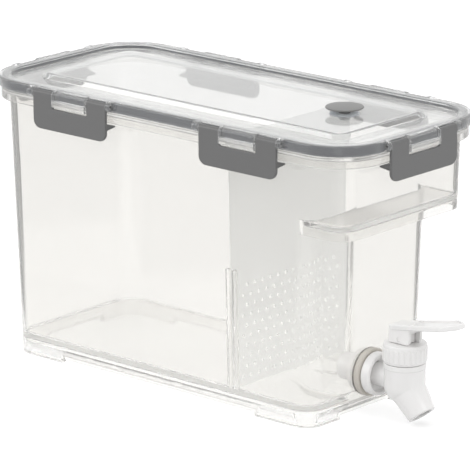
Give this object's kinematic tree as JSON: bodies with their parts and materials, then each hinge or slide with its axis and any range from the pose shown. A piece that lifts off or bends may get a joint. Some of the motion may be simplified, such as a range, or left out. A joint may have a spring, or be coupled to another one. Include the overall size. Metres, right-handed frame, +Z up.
{
  "type": "fridge drinks dispenser box",
  "caption": "Clear rectangular drinks box with an overhanging tap end, perforated divider, clip-on lid with gasket and air plug, and a push-lever tap.",
  "frame": {"origin": "middle of the whole object's footprint, on the surface that the box stands on", "axes": "+X along the box towards the tap and its lever, +Z up, +Y away from the pictured long side"},
  "size_m": [0.3882, 0.1684, 0.2174],
  "materials": {
    "clear_tub": "clear moulded polypropylene, slightly milky, smooth",
    "clear_lid": "clear moulded styrene, glossy",
    "frosted_plate": "frosted translucent polypropylene",
    "grey_latch": "mid grey moulded plastic, fine satin texture",
    "grey_gasket": "grey silicone, soft satin",
    "grey_vent": "grey silicone, matte",
    "white_tap": "white moulded plastic, glossy",
    "pale_silicone": "pale translucent silicone, satin"
  },
  "bodies": {
    "tub_body": {"tub": "clear_tub", "divider": "frosted_plate", "tap_body": "white_tap", "tap_collar": "white_tap", "outer_washer": "pale_silicone", "inner_washer": "pale_silicone", "inner_nut": "white_tap"},
    "lid_body": {"lid": "clear_lid", "lid_gasket": "grey_gasket", "vent_seal": "grey_vent"},
    "vent_body": {"vent_plug": "grey_vent"},
    "latch_front_left_body": {"latch_front_left": "grey_latch"},
    "latch_front_right_body": {"latch_front_right": "grey_latch"},
    "latch_back_left_body": {"latch_back_left": "grey_latch"},
    "latch_back_right_body": {"latch_back_right": "grey_latch"},
    "latch_left_end_body": {"latch_left_end": "grey_latch"},
    "latch_tap_end_body": {"latch_tap_end": "grey_latch"},
    "lever_body": {"tap_lever": "white_tap", "lever_pin": "white_tap"},
    "stem_body": {"valve_stem": "white_tap", "valve_plug": "pale_silicone"}
  },
  "joints": [
    {"name": "lid_lift", "type": "slide", "parent": "tub_body", "child": "lid_body", "axis": [0, 0, 1], "range_m": [0, 0.018]},
    {"name": "latch_front_left_swing", "type": "hinge", "parent": "lid_body", "child": "latch_front_left_body", "pos_m": [-0.09454, -0.08055, 0.2069], "axis": [-1, 0, 0], "range_deg": [0, 120]},
    {"name": "latch_front_right_swing", "type": "hinge", "parent": "lid_body", "child": "latch_front_right_body", "pos_m": [0.06466, -0.08055, 0.2069], "axis": [-1, 0, 0], "range_deg": [0, 120]},
    {"name": "latch_back_left_swing", "type": "hinge", "parent": "lid_body", "child": "latch_back_left_body", "pos_m": [-0.09454, 0.08055, 0.2069], "axis": [1, 0, 0], "range_deg": [0, 120]},
    {"name": "latch_back_right_swing", "type": "hinge", "parent": "lid_body", "child": "latch_back_right_body", "pos_m": [0.06466, 0.08055, 0.2069], "axis": [1, 0, 0], "range_deg": [0, 120]},
    {"name": "latch_left_end_swing", "type": "hinge", "parent": "lid_body", "child": "latch_left_end_body", "pos_m": [-0.19049, 0, 0.2069], "axis": [0, 1, 0], "range_deg": [0, 120]},
    {"name": "latch_tap_end_swing", "type": "hinge", "parent": "lid_body", "child": "latch_tap_end_body", "pos_m": [0.16061, 0, 0.2069], "axis": [0, -1, 0], "range_deg": [0, 120]},
    {"name": "vent_push", "type": "slide", "parent": "lid_body", "child": "vent_body", "axis": [0, 0, -1], "range_m": [0, 0.003]},
    {"name": "lever_press", "type": "hinge", "parent": "tub_body", "child": "lever_body", "pos_m": [0.15506, 0, 0.0573], "axis": [0, 1, 0], "range_deg": [0, 20], "stiffness_Nm_per_rad": 0.4, "springref_deg": -6.88},
    {"name": "valve_lift", "type": "slide", "parent": "tub_body", "child": "stem_body", "axis": [0, 0, 1], "range_m": [0, 0.0026]}
  ],
  "couplings": [
    {"joint": "latch_front_left_swing", "follows": "lid_lift", "rad_per_m": 116.35},
    {"joint": "latch_front_right_swing", "follows": "lid_lift", "rad_per_m": 116.35},
    {"joint": "latch_back_left_swing", "follows": "lid_lift", "rad_per_m": 116.35},
    {"joint": "latch_back_right_swing", "follows": "lid_lift", "rad_per_m": 116.35},
    {"joint": "latch_left_end_swing", "follows": "lid_lift", "rad_per_m": 116.35},
    {"joint": "latch_tap_end_swing", "follows": "lid_lift", "rad_per_m": 116.35},
    {"joint": "valve_lift", "follows": "lever_press", "m_per_rad": 0.0074}
  ]
}
